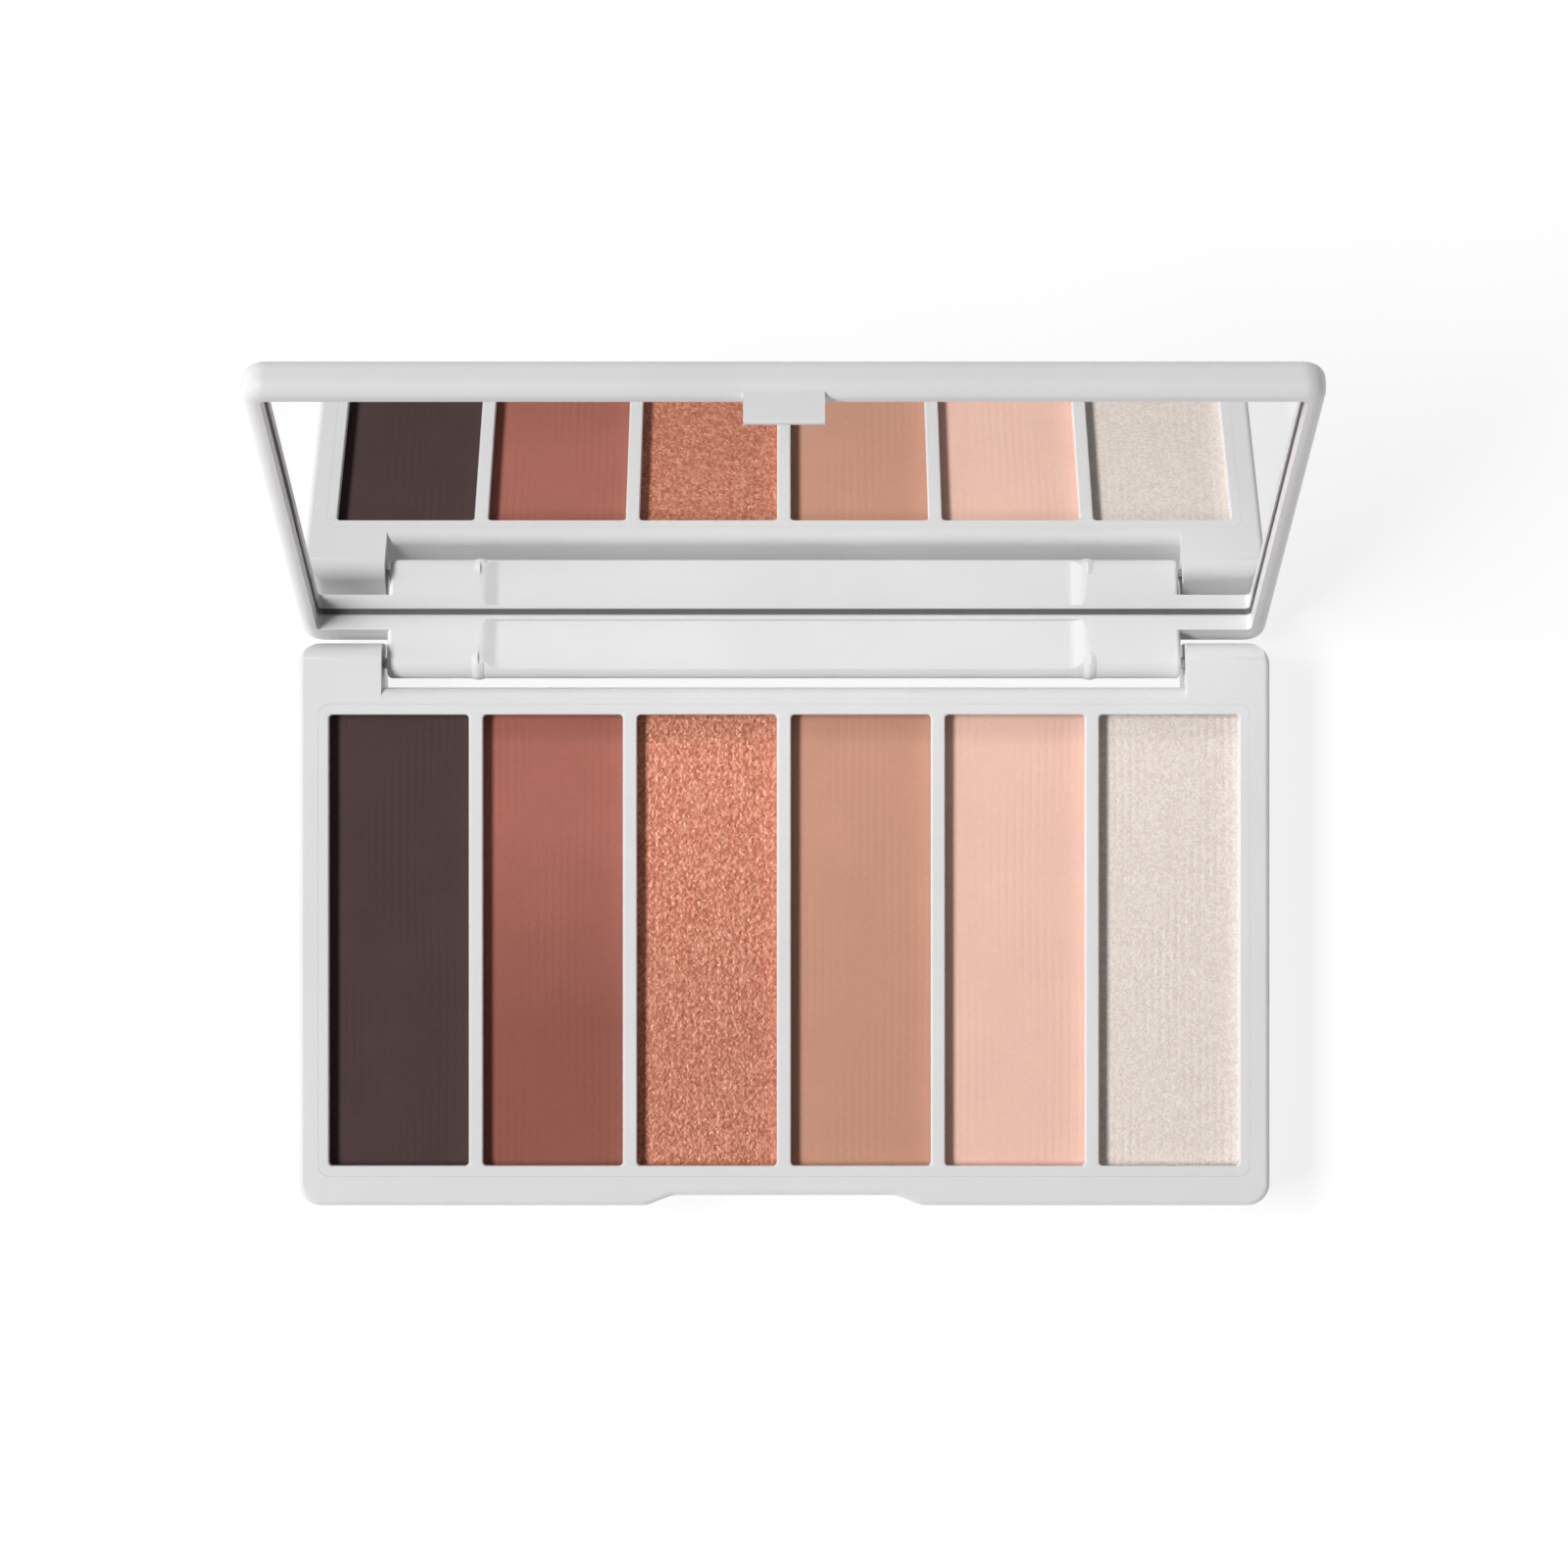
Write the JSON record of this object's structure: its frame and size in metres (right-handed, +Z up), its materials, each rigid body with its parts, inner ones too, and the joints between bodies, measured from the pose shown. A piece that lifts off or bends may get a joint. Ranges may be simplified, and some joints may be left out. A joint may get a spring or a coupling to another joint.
{
  "type": "eyeshadow palette",
  "caption": "Slim white makeup palette with pressed powders side by side and a hinged mirror lid that snaps shut.",
  "frame": {"origin": "middle of the base's flat underside", "axes": "+X along the row of powders to the user's right, +Y to the hinge at the rear, +Z up"},
  "size_m": [0.1, 0.0823, 0.057],
  "materials": {
    "white_plastic": "satin white moulded ABS",
    "pan_metal": "drawn aluminium",
    "pan_glue": "set hot-melt glue",
    "pin_steel": "drawn steel wire",
    "mirror_tape": "double-sided tape",
    "mirror_glass": "silvered glass",
    "powder_charcoal": "pressed matte powder",
    "powder_brick": "pressed matte powder",
    "powder_copper": "pressed shimmer powder",
    "powder_tan": "pressed matte powder",
    "powder_peach": "pressed matte powder",
    "powder_pearl": "pressed shimmer powder"
  },
  "bodies": {
    "base": {"base_shell": "white_plastic", "pan_glue_charcoal": "pan_glue", "pan_charcoal": "pan_metal", "powder_charcoal": "powder_charcoal", "pan_glue_brick": "pan_glue", "pan_brick": "pan_metal", "powder_brick": "powder_brick", "pan_glue_copper": "pan_glue", "pan_copper": "pan_metal", "powder_copper": "powder_copper", "pan_glue_tan": "pan_glue", "pan_tan": "pan_metal", "powder_tan": "powder_tan", "pan_glue_peach": "pan_glue", "pan_peach": "pan_metal", "powder_peach": "powder_peach", "pan_glue_pearl": "pan_glue", "pan_pearl": "pan_metal", "powder_pearl": "powder_pearl", "pan_deck": "white_plastic", "hinge_pin_left": "pin_steel", "hinge_pin_right": "pin_steel"},
    "lid": {"lid_shell": "white_plastic", "mirror_tape": "mirror_tape", "mirror": "mirror_glass"}
  },
  "joints": [
    {"name": "lid_hinge", "type": "hinge", "parent": "base", "child": "lid", "pos_m": [0, 0.02695, 0.00515], "axis": [1, 0, 0], "range_deg": [0, 111.4]}
  ]
}
